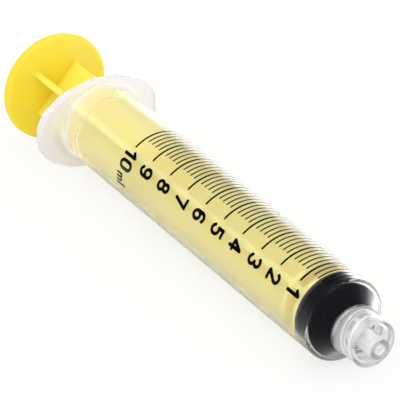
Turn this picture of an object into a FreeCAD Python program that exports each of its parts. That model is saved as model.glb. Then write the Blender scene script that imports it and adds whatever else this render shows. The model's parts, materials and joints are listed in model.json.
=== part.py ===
import FreeCAD, Part
import Sketcher
import os

# Luer lock syringe, 10 ml, three pieces: barrel, rubber stopper and plunger rod.
# Each piece is drawn along its own +X axis, from its rear face towards the tip, and is then
# placed in the row frame: +X towards the tip, +Y along the finger flange, +Z up.
# The syringe lies on the thumb disc's rim and the barrel's shoulder, with its tip a little down.

doc = FreeCAD.newDocument("luer_lock_syringe")

# Driving sizes, in millimetres, diameters where the name says so

SIZES = [
    ("bore_diameter", 14.2, "tube inside, so that 10 ml is a stroke of 63 mm"),
    ("barrel_wall", 1.0, "wall of the tube and of the shoulder"),
    ("tube_length", 85.8, "front of the finger flange to the shoulder"),
    ("mouth_chamfer", 0.5, "lead-in at the rear mouth of the bore"),
    ("bead_position", 6.0, "rear face to the middle of the stopper bead"),
    ("bead_length", 1.6, "length of the stopper bead along the bore"),
    ("bead_height", 0.22, "how far the stopper bead stands into the bore"),
    ("flange_thickness", 2.0, "finger flange plate"),
    ("flange_length", 26.1, "finger flange, tip to tip"),
    ("flange_width", 18.8, "finger flange across its middle"),
    ("flange_tip_width", 4.6, "straight end of each flange wing"),
    ("flange_hip_length", 22.2, "between the outer corners of the long sides"),
    ("flange_hip_width", 11.4, "across the outer corners of the long sides"),
    ("flange_corner_radius", 4.0, "corners of the wings, seen along the axis"),
    ("flange_waist_radius", 9.0, "blunt middle of the long sides"),
    ("flange_edge_bevel", 0.4, "bevelled rim of the flange plate"),
    ("flange_root_bevel", 0.3, "slope between the tube and the flange"),
    ("shoulder_length", 3.5, "cone from the tube to the collar"),
    ("shoulder_edge_radius", 0.5, "rounded edge between the tube and the cone"),
    ("collar_ring_diameter", 9.7, "ring at the foot of the locking collar"),
    ("collar_ring_length", 0.9, "ring at the foot of the locking collar"),
    ("collar_diameter", 9.2, "outside of the locking collar"),
    ("collar_length", 5.8, "foot of the collar to its open end"),
    ("collar_edge_bevel", 0.15, "bevelled rims of the collar"),
    ("thread_root_diameter", 8.0, "inside of the collar, between its thread turns"),
    ("collar_floor", 0.1, "step from the foot of the collar to its inner floor"),
    ("tip_projection", 2.1, "luer tip beyond the collar's open end"),
    ("tip_end_diameter", 3.96, "luer tip at its small end"),
    ("tip_taper", 0.06, "luer taper, change of diameter over length"),
    ("tip_edge_bevel", 0.2, "bevelled end of the luer tip"),
    ("fluid_bore_diameter", 2.1, "channel through the luer tip"),
    ("cone_foot_diameter", 8.8, "inside of the shoulder where its steep cone ends"),
    ("nose_slope_length", 0.6, "depth of the shallow inner cone down to the channel"),
    ("seal_clearance", 0.04, "stopper ribs to the bore, on the radius"),
    ("stopper_rest_gap", 0.3, "stopper to the shoulder, pushed right in"),
    ("stopper_skirt_length", 3.5, "rear face of the stopper to its front rib edge"),
    ("rear_rib_length", 0.8, "sealing rib at the rear of the stopper"),
    ("front_rib_length", 2.0, "sealing rib at the front of the stopper"),
    ("waist_depth", 0.45, "groove between the two sealing ribs"),
    ("rib_flank", 0.25, "slope between the ribs and the groove, along the axis"),
    ("rib_edge_bevel", 0.12, "bevelled edges of the sealing ribs"),
    ("stem_diameter", 5.2, "neck of the rod's head, inside the stopper"),
    ("stem_length", 1.5, "neck of the rod's head, inside the stopper"),
    ("head_diameter", 8.6, "widest part of the rod's head"),
    ("head_rim_length", 0.8, "straight rim of the rod's head"),
    ("head_nose_diameter", 4.4, "flat front of the rod's head"),
    ("head_nose_length", 2.0, "cone of the rod's head"),
    ("head_clearance", 0.05, "rod's head to the stopper, all round"),
    ("rod_length", 100.4, "thumb face to the front disc's front face"),
    ("thumb_disc_diameter", 22.6, "thumb disc"),
    ("thumb_disc_thickness", 2.0, "thumb disc"),
    ("thumb_edge_radius", 0.8, "rounded rim of the thumb disc"),
    ("grip_ring_count", 2.0, "rings on the thumb face"),
    ("grip_ring_pitch", 2.8, "distance between the rings"),
    ("grip_ring_first", 4.6, "radius of the first ring"),
    ("grip_ring_width", 0.9, "width of a ring"),
    ("grip_ring_depth", 0.25, "depth of a ring"),
    ("rod_rib_span", 12.8, "across the cross of ribs"),
    ("rod_rib_thickness", 1.15, "each rib of the cross"),
    ("rod_rib_flare", 0.4, "flare of the ribs into the thumb disc"),
    ("front_disc_diameter", 13.4, "disc behind the stopper"),
    ("front_disc_thickness", 1.2, "disc behind the stopper"),
    ("guide_disc_diameter", 13.4, "second disc, which keeps the rod centred"),
    ("guide_disc_thickness", 1.0, "second disc"),
    ("guide_disc_setback", 2.6, "between the two discs, face to face"),
    ("rod_roll", 42.0, "ribs to the finger flange, degrees about the axis"),
]

sizes = doc.addObject("Spreadsheet::Sheet", "sizes")
for row, (alias, value, note) in enumerate(SIZES, start=1):
    sizes.set("A%d" % row, alias)
    sizes.set("B%d" % row, str(value))
    sizes.setAlias("B%d" % row, alias)
    sizes.set("C%d" % row, note)
doc.recompute()

# Sizes that follow from the driving ones

DERIVED = [
    ("bore_radius", "=sizes.bore_diameter / 2"),
    ("barrel_radius", "=bore_radius + sizes.barrel_wall"),
    ("shoulder_x", "=sizes.flange_thickness + sizes.tube_length"),
    ("collar_x", "=shoulder_x + sizes.shoulder_length"),
    ("floor_x", "=collar_x + sizes.collar_floor"),
    ("collar_end_x", "=collar_x + sizes.collar_length"),
    ("tip_x", "=collar_end_x + sizes.tip_projection"),
    ("tip_radius", "=sizes.tip_end_diameter / 2"),
    ("fluid_radius", "=sizes.fluid_bore_diameter / 2"),
    ("ring_radius", "=sizes.collar_ring_diameter / 2"),
    ("shoulder_turn", "=atan((barrel_radius - ring_radius) / sizes.shoulder_length)"),
    ("cone_x", "=shoulder_x - sizes.barrel_wall * tan(shoulder_turn / 2)"),
    ("cone_foot_radius", "=sizes.cone_foot_diameter / 2"),
    ("cone_length", "=(bore_radius - cone_foot_radius) / tan(shoulder_turn)"),
    ("cone_foot_x", "=cone_x + cone_length"),
    ("nose_x", "=cone_foot_x + sizes.nose_slope_length"),
    ("seal_radius", "=bore_radius - sizes.seal_clearance"),
    ("stopper_x", "=cone_x - sizes.stopper_rest_gap - sizes.stopper_skirt_length"),
    ("stopper_cone_x", "=sizes.stopper_skirt_length + cone_length"),
    ("stopper_nose_x", "=stopper_cone_x + sizes.nose_slope_length"),
    ("rod_x", "=stopper_x - sizes.head_clearance - sizes.rod_length"),
    ("stem_radius", "=sizes.stem_diameter / 2"),
    ("head_radius", "=sizes.head_diameter / 2"),
    ("thumb_radius", "=sizes.thumb_disc_diameter / 2"),
    ("bead_front_x", "=sizes.bead_position + sizes.bead_length / 2"),
    ("travel", "=stopper_x - bead_front_x - sizes.stopper_rest_gap"),
    ("shoulder_ball_x", "=shoulder_x - sizes.shoulder_edge_radius * tan(shoulder_turn / 2)"),
    ("shoulder_ball_r", "=barrel_radius - sizes.shoulder_edge_radius"),
    ("thumb_ball_x", "=rod_x + sizes.thumb_disc_thickness - sizes.thumb_edge_radius"),
    ("thumb_ball_r", "=thumb_radius - sizes.thumb_edge_radius"),
    ("ball_run", "=shoulder_ball_x - thumb_ball_x"),
    ("ball_rise", "=thumb_ball_r - shoulder_ball_r"),
    ("ball_gap", "=sqrt(ball_run ^ 2 + ball_rise ^ 2)"),
    ("ball_growth", "=sizes.thumb_edge_radius - sizes.shoulder_edge_radius"),
    ("rest_tilt", "=atan(ball_rise / ball_run) + asin(ball_growth / ball_gap)"),
    ("shoulder_drop", "=shoulder_ball_x * sin(rest_tilt) + shoulder_ball_r * cos(rest_tilt)"),
    ("axis_height", "=shoulder_drop + sizes.shoulder_edge_radius"),
    ("front_face_r", "=tip_radius - sizes.tip_edge_bevel"),
    ("front_reach", "=tip_x * cos(rest_tilt) + front_face_r * sin(rest_tilt)"),
    ("rear_ball_x", "=rod_x + sizes.thumb_edge_radius"),
    ("rear_turn", "=rear_ball_x * cos(rest_tilt) - thumb_ball_r * sin(rest_tilt)"),
    ("rear_reach", "=rear_turn - sizes.thumb_edge_radius"),
    ("middle_x", "=(front_reach + rear_reach) / 2"),
]

derived = doc.addObject("Spreadsheet::Sheet", "derived")
for row, (alias, formula) in enumerate(DERIVED, start=1):
    derived.set("A%d" % row, alias)
    derived.setAlias("B%d" % row, alias)
for row, (alias, formula) in enumerate(DERIVED, start=1):
    derived.set("B%d" % row, formula)
doc.recompute()


def value_of(expression):
    """The plain number that an expression on the two sheets gives now."""
    result = derived.evalExpression(expression)
    return float(getattr(result, "Value", result))


# Small helpers for bodies, sketches and features

def new_body(name):
    """A body whose label is the name of its node."""
    body = doc.addObject("PartDesign::Body", name)
    body.Label = name
    return body


def new_sketch(body, name, role):
    """A sketch on one of the body's own origin planes."""
    sketch = body.newObject("Sketcher::SketchObject", name)
    for plane in body.Origin.OriginFeatures:
        if plane.Role == role:
            sketch.AttachmentSupport = [(plane, "")]
    sketch.MapMode = "FlatFace"
    return sketch


def tie(sketch, direction, line, expression):
    """Hold a line's start point at a distance from the sketch's origin."""
    on_axis = {"DistanceX": -2, "DistanceY": -1}
    if expression == "0":
        sketch.addConstraint(Sketcher.Constraint("PointOnObject", line, 1, on_axis[direction]))
        return
    size = value_of(expression)
    if size < 0:
        rule = Sketcher.Constraint(direction, line, 1, -1, 1, -size)
        expression = "-(%s)" % expression
    else:
        rule = Sketcher.Constraint(direction, -1, 1, line, 1, size)
    index = sketch.addConstraint(rule)
    sketch.setExpression("Constraints[%d]" % index, expression)


def closed_outline(sketch, corners):
    """Straight edges through the corners, each corner held by two expressions."""
    points = []
    for across, up in corners:
        points.append(FreeCAD.Vector(value_of(across), value_of(up), 0))
    first = sketch.GeometryCount
    count = len(points)
    for index, start in enumerate(points):
        end = points[(index + 1) % count]
        sketch.addGeometry(Part.LineSegment(start, end), False)
    for index in range(count):
        following = first + (index + 1) % count
        sketch.addConstraint(Sketcher.Constraint("Coincident", first + index, 2, following, 1))
    for index, (across, up) in enumerate(corners):
        tie(sketch, "DistanceX", first + index, across)
        tie(sketch, "DistanceY", first + index, up)


def turned(body, kind, name, corners):
    """A full turn of a half section about the body's X axis, added or cut away."""
    sketch = new_sketch(body, name + "_section", "XZ_Plane")
    closed_outline(sketch, corners)
    feature = body.newObject(kind, name)
    feature.Profile = sketch
    feature.ReferenceAxis = (sketch, ["H_Axis"])
    feature.Angle = 360.0
    doc.recompute()
    return feature


def pad(body, sketch, name, length):
    """The sketch's area carried along +X."""
    feature = body.newObject("PartDesign::Pad", name)
    feature.Profile = sketch
    feature.setExpression("Length", length)
    doc.recompute()
    return feature


def rounded(body, base, name, edges, radius):
    """A fillet on the named edges of the last feature."""
    feature = body.newObject("PartDesign::Fillet", name)
    feature.Base = (base, edges)
    feature.setExpression("Radius", radius)
    doc.recompute()
    return feature


def bevelled(body, base, name, edges, size):
    """An even chamfer on the named edges of the last feature."""
    feature = body.newObject("PartDesign::Chamfer", name)
    feature.Base = (base, edges)
    feature.setExpression("Size", size)
    doc.recompute()
    return feature


def ring_edges(feature, rings):
    """Names of the circular edges about the X axis, each given by its place and radius."""
    names = []
    for index, edge in enumerate(feature.Shape.Edges, start=1):
        curve = edge.Curve
        if curve.TypeId != "Part::GeomCircle":
            continue
        for place, radius in rings:
            near = abs(curve.Center.x - value_of(place)) < 1e-4
            if near and abs(curve.Radius - value_of(radius)) < 1e-4:
                names.append("Edge%d" % index)
    return names


def long_edges(feature, corners):
    """Names of the edges along X through any of the (y, z) corners, in all four quarters."""
    names = []
    for index, edge in enumerate(feature.Shape.Edges, start=1):
        start = edge.Vertexes[0].Point
        end = edge.Vertexes[-1].Point
        if abs(start.y - end.y) > 1e-6 or abs(start.z - end.z) > 1e-6:
            continue
        for across, up in corners:
            near = abs(abs(start.y) - value_of(across)) < 1e-4
            if near and abs(abs(start.z) - value_of(up)) < 1e-4:
                names.append("Edge%d" % index)
    return names


def face_rims(feature):
    """Names of the edges that lie flat across the X axis."""
    names = []
    for index, edge in enumerate(feature.Shape.Edges, start=1):
        if edge.BoundBox.XLength < 1e-6:
            names.append("Edge%d" % index)
    return names


def place(body, along, roll):
    """Put a piece on the syringe's axis, with the whole axis tipped so that it lies at rest."""
    run = "(%s)" % along
    east = run + " * cos(derived.rest_tilt) - derived.middle_x"
    height = "derived.axis_height - " + run + " * sin(derived.rest_tilt)"
    tip = "rotation(vector(0; 1; 0); derived.rest_tilt)"
    turn = "rotation(vector(1; 0; 0); %s)" % roll
    body.setExpression("Placement", "placement(vector(%s; 0; %s); %s * %s)" % (east, height, tip, turn))


# Barrel: the finger flange is a plate, the tube, shoulder, collar and tip are turned on it

barrel = new_body("barrel")
flange_sketch = new_sketch(barrel, "flange_outline", "YZ_Plane")
TIP = ("sizes.flange_length / 2", "sizes.flange_tip_width / 2")
HIP = ("sizes.flange_hip_length / 2", "sizes.flange_hip_width / 2")
WAIST = "sizes.flange_width / 2"
closed_outline(flange_sketch, [
    (TIP[0], "-" + TIP[1]),
    TIP,
    HIP,
    ("0", WAIST),
    ("-" + HIP[0], HIP[1]),
    ("-" + TIP[0], TIP[1]),
    ("-" + TIP[0], "-" + TIP[1]),
    ("-" + HIP[0], "-" + HIP[1]),
    ("0", "-" + WAIST),
    (HIP[0], "-" + HIP[1]),
])
flange = pad(barrel, flange_sketch, "finger_flange", "sizes.flange_thickness")
flange = rounded(
    barrel, flange, "flange_corners", long_edges(flange, [TIP, HIP]), "sizes.flange_corner_radius"
)
flange = rounded(
    barrel, flange, "flange_waist", long_edges(flange, [("0", WAIST)]), "sizes.flange_waist_radius"
)
flange = bevelled(barrel, flange, "flange_rim", face_rims(flange), "sizes.flange_edge_bevel")

tube = turned(barrel, "PartDesign::Revolution", "tube_and_tip", [
    ("0", "0"),
    ("0", "derived.barrel_radius"),
    ("derived.shoulder_x", "derived.barrel_radius"),
    ("derived.collar_x", "derived.ring_radius"),
    ("derived.collar_x + sizes.collar_ring_length", "derived.ring_radius"),
    ("derived.collar_x + sizes.collar_ring_length", "sizes.collar_diameter / 2"),
    ("derived.collar_end_x", "sizes.collar_diameter / 2"),
    ("derived.collar_end_x", "derived.tip_radius + sizes.tip_projection * sizes.tip_taper / 2"),
    ("derived.tip_x", "derived.tip_radius"),
    ("derived.tip_x", "0"),
])

bore = turned(barrel, "PartDesign::Groove", "bore_and_channel", [
    ("0", "0"),
    ("0", "derived.bore_radius + sizes.mouth_chamfer"),
    ("sizes.mouth_chamfer", "derived.bore_radius"),
    ("sizes.bead_position - sizes.bead_length / 2", "derived.bore_radius"),
    ("sizes.bead_position", "derived.bore_radius - sizes.bead_height"),
    ("derived.bead_front_x", "derived.bore_radius"),
    ("derived.cone_x", "derived.bore_radius"),
    ("derived.cone_foot_x", "derived.cone_foot_radius"),
    ("derived.nose_x", "derived.fluid_radius"),
    ("derived.tip_x", "derived.fluid_radius"),
    ("derived.tip_x", "0"),
])

TAPER_AT_FLOOR = "derived.tip_radius + (derived.tip_x - derived.floor_x) * sizes.tip_taper / 2"
TAPER_AT_END = "derived.tip_radius + sizes.tip_projection * sizes.tip_taper / 2"
collar = turned(barrel, "PartDesign::Groove", "collar_annulus", [
    ("derived.floor_x", TAPER_AT_FLOOR),
    ("derived.collar_end_x", TAPER_AT_END),
    ("derived.collar_end_x", "sizes.thread_root_diameter / 2"),
    ("derived.floor_x", "sizes.thread_root_diameter / 2"),
])

barrel_part = bevelled(
    barrel, collar, "flange_root",
    ring_edges(collar, [("sizes.flange_thickness", "derived.barrel_radius")]),
    "sizes.flange_root_bevel",
)
barrel_part = rounded(
    barrel, barrel_part, "shoulder_edge",
    ring_edges(barrel_part, [("derived.shoulder_x", "derived.barrel_radius")]),
    "sizes.shoulder_edge_radius",
)
barrel_part = bevelled(
    barrel, barrel_part, "collar_edges",
    ring_edges(barrel_part, [
        ("derived.collar_x + sizes.collar_ring_length", "derived.ring_radius"),
        ("derived.collar_end_x", "sizes.collar_diameter / 2"),
    ]),
    "sizes.collar_edge_bevel",
)
barrel_part = bevelled(
    barrel, barrel_part, "tip_edge",
    ring_edges(barrel_part, [("derived.tip_x", "derived.tip_radius")]),
    "sizes.tip_edge_bevel",
)

# Stopper: two sealing ribs, a nose that follows the shoulder, a socket for the rod's head

stopper = new_body("plunger_stopper")
WAIST_RADIUS = "derived.seal_radius - sizes.waist_depth"
stopper_outside = turned(stopper, "PartDesign::Revolution", "ribs_and_nose", [
    ("0", "0"),
    ("0", "derived.seal_radius"),
    ("sizes.rear_rib_length", "derived.seal_radius"),
    ("sizes.rear_rib_length + sizes.rib_flank", WAIST_RADIUS),
    (
        "sizes.stopper_skirt_length - sizes.front_rib_length - sizes.rib_flank",
        WAIST_RADIUS,
    ),
    ("sizes.stopper_skirt_length - sizes.front_rib_length", "derived.seal_radius"),
    ("sizes.stopper_skirt_length", "derived.seal_radius"),
    ("derived.stopper_cone_x", "derived.cone_foot_radius"),
    ("derived.stopper_nose_x", "derived.fluid_radius"),
    ("derived.stopper_nose_x", "0"),
])
SOCKET_BACK = "sizes.stem_length - sizes.head_clearance * 2"
SOCKET_RIM = "sizes.stem_length + sizes.head_rim_length"
SOCKET_END = "sizes.stem_length + sizes.head_rim_length + sizes.head_nose_length"
stopper_socket = turned(stopper, "PartDesign::Groove", "head_socket", [
    ("0", "0"),
    ("0", "derived.stem_radius + sizes.head_clearance"),
    (SOCKET_BACK, "derived.stem_radius + sizes.head_clearance"),
    (SOCKET_BACK, "derived.head_radius + sizes.head_clearance"),
    (SOCKET_RIM, "derived.head_radius + sizes.head_clearance"),
    (SOCKET_END, "sizes.head_nose_diameter / 2 + sizes.head_clearance"),
    (SOCKET_END, "0"),
])
bevelled(
    stopper, stopper_socket, "rib_edges",
    ring_edges(stopper_socket, [
        ("0", "derived.seal_radius"),
        ("sizes.rear_rib_length", "derived.seal_radius"),
        ("sizes.stopper_skirt_length - sizes.front_rib_length", "derived.seal_radius"),
        ("sizes.stopper_skirt_length", "derived.seal_radius"),
    ]),
    "sizes.rib_edge_bevel",
)

# Plunger rod: thumb disc, a cross of ribs, two discs and the head inside the stopper

rod = new_body("plunger_rod")
thumb_disc = turned(rod, "PartDesign::Revolution", "thumb_disc", [
    ("0", "0"),
    ("0", "derived.thumb_radius"),
    ("sizes.thumb_disc_thickness", "derived.thumb_radius"),
    ("sizes.thumb_disc_thickness", "0"),
])
thumb_disc = rounded(rod, thumb_disc, "thumb_rim", face_rims(thumb_disc), "sizes.thumb_edge_radius")

for turn in range(int(value_of("sizes.grip_ring_count"))):
    middle = "sizes.grip_ring_first + %d * sizes.grip_ring_pitch" % turn
    thumb_disc = turned(rod, "PartDesign::Groove", "grip_ring_%d" % (turn + 1), [
        ("0", middle + " - sizes.grip_ring_width / 2"),
        ("sizes.grip_ring_depth", middle),
        ("0", middle + " + sizes.grip_ring_width / 2"),
    ])

FLARE_X = "sizes.thumb_disc_thickness + sizes.rod_rib_flare"
FLARE_Z = "sizes.rod_rib_span / 2 + sizes.rod_rib_flare"
RIB_END = "sizes.rod_length - sizes.front_disc_thickness"
for side, role in (("upright", "XZ_Plane"), ("level", "XY_Plane")):
    rib_sketch = new_sketch(rod, "rib_%s_outline" % side, role)
    closed_outline(rib_sketch, [
        ("sizes.thumb_disc_thickness", "-(%s)" % FLARE_Z),
        ("sizes.thumb_disc_thickness", FLARE_Z),
        (FLARE_X, "sizes.rod_rib_span / 2"),
        (RIB_END, "sizes.rod_rib_span / 2"),
        (RIB_END, "-sizes.rod_rib_span / 2"),
        (FLARE_X, "-sizes.rod_rib_span / 2"),
    ])
    rib = rod.newObject("PartDesign::Pad", "rib_%s" % side)
    rib.Profile = rib_sketch
    rib.Midplane = True
    rib.setExpression("Length", "sizes.rod_rib_thickness")
    doc.recompute()

FRONT_FACE = "sizes.rod_length"
GUIDE_FRONT = RIB_END + " - sizes.guide_disc_setback"
discs = turned(rod, "PartDesign::Revolution", "front_disc", [
    (RIB_END, "0"),
    (RIB_END, "sizes.front_disc_diameter / 2"),
    (FRONT_FACE, "sizes.front_disc_diameter / 2"),
    (FRONT_FACE, "0"),
])
discs = turned(rod, "PartDesign::Revolution", "guide_disc", [
    (GUIDE_FRONT + " - sizes.guide_disc_thickness", "0"),
    (GUIDE_FRONT + " - sizes.guide_disc_thickness", "sizes.guide_disc_diameter / 2"),
    (GUIDE_FRONT, "sizes.guide_disc_diameter / 2"),
    (GUIDE_FRONT, "0"),
])

HEAD_BACK = FRONT_FACE + " + sizes.stem_length"
HEAD_RIM = HEAD_BACK + " + sizes.head_rim_length"
HEAD_END = HEAD_RIM + " + sizes.head_nose_length"
head = turned(rod, "PartDesign::Revolution", "head", [
    (RIB_END, "0"),
    (RIB_END, "derived.stem_radius"),
    (HEAD_BACK, "derived.stem_radius"),
    (HEAD_BACK, "derived.head_radius"),
    (HEAD_RIM, "derived.head_radius"),
    (HEAD_END, "sizes.head_nose_diameter / 2"),
    (HEAD_END, "0"),
])

place(barrel, "0", "0")
place(stopper, "derived.stopper_x", "0")
place(rod, "derived.rod_x", "sizes.rod_roll")
doc.recompute()

# Checks, then one file for each piece

for item in doc.Objects:
    if "Invalid" in item.State or "Error" in item.State:
        raise RuntimeError("%s did not recompute" % item.Name)

os.makedirs("parts", exist_ok=True)
for body in (barrel, stopper, rod):
    shape = body.Shape
    if shape.isNull() or not shape.isValid() or len(shape.Solids) != 1:
        raise RuntimeError("%s is not one valid solid" % body.Label)
for body in (barrel, stopper, rod):
    body.Shape.exportStep("parts/%s.step" % body.Label)
    box = body.Shape.BoundBox
    print(body.Label, "volume %.1f mm3" % body.Shape.Volume)
    print("  x %.3f to %.3f, y %.3f to %.3f" % (box.XMin, box.XMax, box.YMin, box.YMax))
    print("  z %.3f to %.3f" % (box.ZMin, box.ZMax))
print("stopper travel %.3f mm" % value_of("derived.travel"))
print("axis tipped %.4f degrees" % value_of("derived.rest_tilt"))
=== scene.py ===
# %% [markdown]
# # A 10 ml luer lock syringe
# A disposable syringe is three mouldings: a clear barrel, a black rubber stopper and a coloured
# plunger rod. It lies on a pale table with its tip towards us. The solids come from the packed
# model, and this script adds the clear barrel with its thread, the stopper's soft edges, the
# printed scale, the finishes, the light and the camera.

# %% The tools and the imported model
import json
import math
import bmesh
import bpy
import numpy as np
from mathutils import Matrix, Vector


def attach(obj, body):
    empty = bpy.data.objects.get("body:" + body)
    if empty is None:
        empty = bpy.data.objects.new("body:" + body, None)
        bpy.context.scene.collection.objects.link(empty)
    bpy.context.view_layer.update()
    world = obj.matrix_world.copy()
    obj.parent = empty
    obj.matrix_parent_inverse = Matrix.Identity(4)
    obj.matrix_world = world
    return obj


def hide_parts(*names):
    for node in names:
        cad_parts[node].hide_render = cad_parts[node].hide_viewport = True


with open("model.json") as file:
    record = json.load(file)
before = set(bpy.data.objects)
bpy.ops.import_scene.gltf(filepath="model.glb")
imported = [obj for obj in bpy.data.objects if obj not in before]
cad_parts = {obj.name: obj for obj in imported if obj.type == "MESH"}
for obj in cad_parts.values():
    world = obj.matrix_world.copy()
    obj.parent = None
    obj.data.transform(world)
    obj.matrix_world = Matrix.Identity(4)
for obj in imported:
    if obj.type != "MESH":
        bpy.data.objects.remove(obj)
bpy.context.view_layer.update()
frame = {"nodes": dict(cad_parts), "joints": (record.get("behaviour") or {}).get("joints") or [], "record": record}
MM = 0.001
print("pieces in the model:", sorted(frame["nodes"]))

# %% [markdown]
# ## The syringe's own axis
# A syringe lies on its thumb disc and on the shoulder of its barrel, so its axis isn't quite
# level. Everything round on it is easier to say along that axis. We read the axis from the
# plunger's joint and measure along it from the back of the finger flange, in millimetres.

# %% Along, across and up, taken from the joint
FULL_TURN = 2 * math.pi
JOINTS = {joint["name"]: joint for joint in frame["joints"]}
MOUNTS = {mount["name"]: mount for mount in frame["record"]["mounts"]}
AHEAD = np.array(JOINTS["plunger_spin"]["axis"], float)
AHEAD /= np.linalg.norm(AHEAD)
ACROSS = np.array([0.0, 1.0, 0.0])
ABOVE = np.cross(AHEAD, ACROSS)
COLLAR_END = 97.1
ORIGIN = np.array(MOUNTS["lock_collar"]["pos_m"]) / MM - COLLAR_END * AHEAD


def on_syringe(along, radius, turn):
    """Points at a distance along the axis, a radius from it and a turn about it, in metres.

    The turn starts at the flange's left wing (+Y) and rises over the top of the barrel. The
    point is the origin, plus the distance ahead, plus the radius times the direction that the
    turn's cosine across and sine upwards give.
    """
    along, radius, turn = np.broadcast_arrays(along, radius, turn)
    out = np.cos(turn)[..., None] * ACROSS + np.sin(turn)[..., None] * ABOVE
    return (ORIGIN + along[..., None] * AHEAD + radius[..., None] * out) * MM


print("axis tipped by %.2f degrees" % math.degrees(math.asin(-AHEAD[2])))

# %% [markdown]
# ## Surfaces from grids
# Each new piece is a grid of points worked out with numpy: one direction runs along a profile
# and the other round the axis. A closed grid can be a ring in both directions, which is what a
# tube open at both ends is, or it can end in a point at each pole.

# %% The faces of a grid


def grid_faces(rows, columns, close_rows):
    """Quads between neighbours of a grid whose columns always close on themselves.

    A point's number is its row times the number of columns, plus its column.
    """
    last = rows if close_rows else rows - 1
    row = np.arange(last)[:, None]
    column = np.arange(columns)[None, :]
    row_after = (row + 1) % rows
    column_after = (column + 1) % columns
    corners = [
        row * columns + column,
        row_after * columns + column,
        row_after * columns + column_after,
        row * columns + column_after,
    ]
    return np.stack([np.broadcast_to(c, (last, columns)) for c in corners], -1).reshape(-1, 4)


print("a ring of 3 by 4 points has %d faces" % len(grid_faces(3, 4, True)))

# %% Points and faces become an object


def make_object(name, points, faces, smooth_angle=38.0):
    """A mesh object from an array of points and a list of face arrays, smooth but for its edges."""
    mesh = bpy.data.meshes.new(name)
    mesh.from_pydata(points.reshape(-1, 3), [], [tuple(face) for block in faces for face in block])
    mesh.validate()
    work = bmesh.new()
    work.from_mesh(mesh)
    bmesh.ops.recalc_face_normals(work, faces=work.faces)
    work.to_mesh(mesh)
    work.free()
    mesh.polygons.foreach_set("use_smooth", np.ones(len(mesh.polygons), bool))
    mesh.set_sharp_from_angle(angle=math.radians(smooth_angle))
    piece = bpy.data.objects.new(name, mesh)
    bpy.context.scene.collection.objects.link(piece)
    print("%s: %d points, %d faces" % (name, len(mesh.vertices), len(mesh.polygons)))
    return piece


# %% [markdown]
# ## Profiles with rounded corners
# A mould has no knife edges: each corner of the section has a small radius. The profile is
# given by its corners and the radius at each, and the arcs are put in by formula.

# %% Corners become arcs


def rounded_corners(corners, closed, steps=5, support=0.3):
    """A polyline with an arc at each corner that has a radius.

    A corner is (x, y, radius). The arc touches both sides at radius times the tangent of half
    the turn. Its points are the two touching points, seen from the circle's centre and blended
    by the sines of what is left and what is done of the turn. Two more points a little way out
    hold the shading of the flats beside the arc.
    """
    corners = np.array(corners, float)
    points = corners[:, :2]
    before = np.roll(points, 1, axis=0) - points
    after = np.roll(points, -1, axis=0) - points
    result = []
    for index, (point, radius) in enumerate(zip(points, corners[:, 2])):
        end = not closed and index in (0, len(points) - 1)
        if radius == 0 or end:
            result.append(point[None, :])
            continue
        back = before[index] / np.linalg.norm(before[index])
        on = after[index] / np.linalg.norm(after[index])
        turn = math.pi - math.acos(np.clip(back @ on, -1, 1))
        reach = radius * math.tan(turn / 2)
        centre = point + (back + on) / np.linalg.norm(back + on) * radius / math.cos(turn / 2)
        first = point + back * reach - centre
        last = point + on * reach - centre
        share = np.linspace(0, 1, steps + 1)[:, None]
        arc = (np.sin((1 - share) * turn) * first + np.sin(share * turn) * last) / math.sin(turn)
        outer = np.array([point + back * reach * (1 + support)])
        inner = np.array([point + on * reach * (1 + support)])
        result += [outer, centre + arc, inner]
    return np.concatenate(result)


SQUARE = [(0, 0, 1), (4, 0, 1), (4, 4, 1), (0, 4, 1)]
print("a square with round corners has %d points" % len(rounded_corners(SQUARE, closed=True)))

# %% [markdown]
# ## Colours and nodes
# Colours are written as a screen shows them and turned to linear light by one function. One
# more small function adds a node, sets it and links it. A noise node is told how many of its
# spots fit in a metre, so a third function turns a width in millimetres into that number, and
# the last one starts an empty material.

# %% Colour and node helpers


def colour(code):
    """A hex colour as linear red, green, blue and alpha, by the sRGB curve."""
    parts = np.array([int(code[i:i + 2], 16) for i in (0, 2, 4)]) / 255
    linear = np.where(parts <= 0.04045, parts / 12.92, ((parts + 0.055) / 1.055) ** 2.4)
    return (*linear, 1.0)


def spots_of(width):
    """The scale of a noise whose spots are this many millimetres wide: one over the width."""
    return 1 / (width * MM)


def add_node(tree, kind, values=None, links=None, **settings):
    """A node with its settings, the values of its inputs and the sockets linked to them."""
    node = tree.nodes.new(kind)
    for key, setting in settings.items():
        setattr(node, key, setting)
    for key, value in (values or {}).items():
        node.inputs[key].default_value = value
    for key, socket in (links or {}).items():
        tree.links.new(socket, node.inputs[key])
    return node


def new_material(name):
    """An empty material and its tree."""
    material = bpy.data.materials.new(name)
    material.use_nodes = True
    material.node_tree.nodes.clear()
    return material, material.node_tree


WHITE = colour("FFFFFF")
# A Mix node keeps its numbers and its colours on sockets of their own
FACTOR, NUMBER_A, NUMBER_B, COLOUR_A, COLOUR_B = 0, 2, 3, 6, 7
MIXED_NUMBER, MIXED_COLOUR = 0, 2
print("spots of 0.5 mm: %.0f in a metre" % spots_of(0.5))

# %% [markdown]
# ## Natural polypropylene, moulded
# The barrel is polypropylene without pigment, a plastic that lets most light through and clouds
# the rest a little. Its skin has the fine grain of the mould, which blurs what lies behind it.
# One number wouldn't do for all of it: the thick flange is milky and the thin shoulder clear,
# and the bore is rougher than the outside. So the barrel's mesh carries two numbers at each
# point. Its haze is the share of light that the plastic scatters, and its blur is how rough the
# skin is there. The shader reads both.

# %% Grain, haze and blur
clear_plastic, barrel_tree = new_material("natural_polypropylene_moulded")
barrel_spot = add_node(barrel_tree, "ShaderNodeTexCoord").outputs["Object"]
haze_here = add_node(barrel_tree, "ShaderNodeAttribute", attribute_name="haze").outputs["Fac"]
blur_here = add_node(barrel_tree, "ShaderNodeAttribute", attribute_name="blur").outputs["Fac"]
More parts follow.
